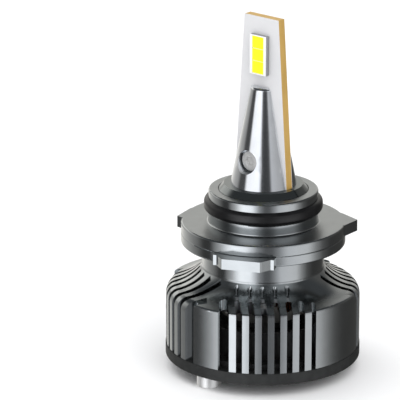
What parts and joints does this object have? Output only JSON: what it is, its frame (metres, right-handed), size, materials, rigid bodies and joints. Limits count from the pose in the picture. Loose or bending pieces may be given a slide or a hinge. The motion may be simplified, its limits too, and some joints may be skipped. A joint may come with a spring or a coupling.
{
  "type": "headlight bulb",
  "caption": "Plug-in LED headlight bulb: lamp post with diodes on both faces of a copper board, twist-in collar with seal ring, slotted heat sink with a rear fan.",
  "frame": {"origin": "on the lamp axis, in the plane of the flange's upper seating face, the reference plane of the light centre", "axes": "+Z along the lamp axis from the fan towards the lamp tip; -Y is the middle of the front slot group"},
  "size_m": [0.0357, 0.0356, 0.0662],
  "materials": {
    "gunmetal": "polished dark nickel plating over die-cast aluminium",
    "post_metal": "polished nickel plating over aluminium",
    "seal_rubber": "matte black silicone rubber",
    "black_steel": "blackened steel",
    "steel": "zinc-plated steel",
    "copper_core": "bare copper board with a gold flash",
    "white_mask": "white solder mask, satin",
    "led_ceramic": "white ceramic LED body, modelled as a matte plastic",
    "phosphor": "yellow phosphor in clear silicone",
    "cover_plastic": "charcoal glass-filled nylon, matte",
    "fan_plastic": "black glass-filled polyester, satin",
    "bronze": "sintered bronze",
    "stator_steel": "laminated electrical steel",
    "winding": "enamelled copper wire",
    "circuit_board": "green solder mask over glass-epoxy board",
    "magnet": "bonded ferrite",
    "chip_plastic": "black epoxy mould compound",
    "can": "brushed aluminium can",
    "wire_red": "red silicone-insulated wire",
    "grommet_rubber": "matte black rubber"
  },
  "bodies": {
    "housing": {"heat_sink": "gunmetal", "clamp_half_front": "post_metal", "clamp_half_rear": "post_metal", "clamp_screw": "steel", "board_core": "copper_core", "board_mask_front": "white_mask", "board_mask_rear": "white_mask", "led_package_front": "led_ceramic", "led_package_rear": "led_ceramic", "led_phosphors_front": "phosphor", "led_phosphors_rear": "phosphor", "rear_cover": "cover_plastic", "cover_screws": "steel", "fan_frame": "fan_plastic", "bearing_sleeve": "bronze", "stator_core": "stator_steel", "stator_coils": "winding", "fan_board": "circuit_board", "fan_wires": "wire_red", "driver_board": "circuit_board", "board_screws": "steel", "driver_chips": "chip_plastic", "driver_capacitors": "can", "driver_inductor": "winding", "lead_wires": "wire_red", "cable_grommet": "grommet_rubber"},
    "collar": {"collar_flange": "gunmetal", "base_ring": "gunmetal", "o_ring": "seal_rubber", "collar_set_screw": "black_steel"},
    "rotor": {"fan_rotor": "fan_plastic", "rotor_cup": "stator_steel", "rotor_magnet": "magnet", "fan_shaft": "steel"}
  },
  "joints": [
    {"name": "fan_spin", "type": "hinge", "parent": "housing", "child": "rotor", "pos_m": [0, 0, -0.021], "axis": [0, 0, 1], "continuous": true},
    {"name": "collar_turn", "type": "hinge", "parent": "housing", "child": "collar", "pos_m": [0, 0, -0.002], "axis": [0, 0, 1], "continuous": true}
  ]
}
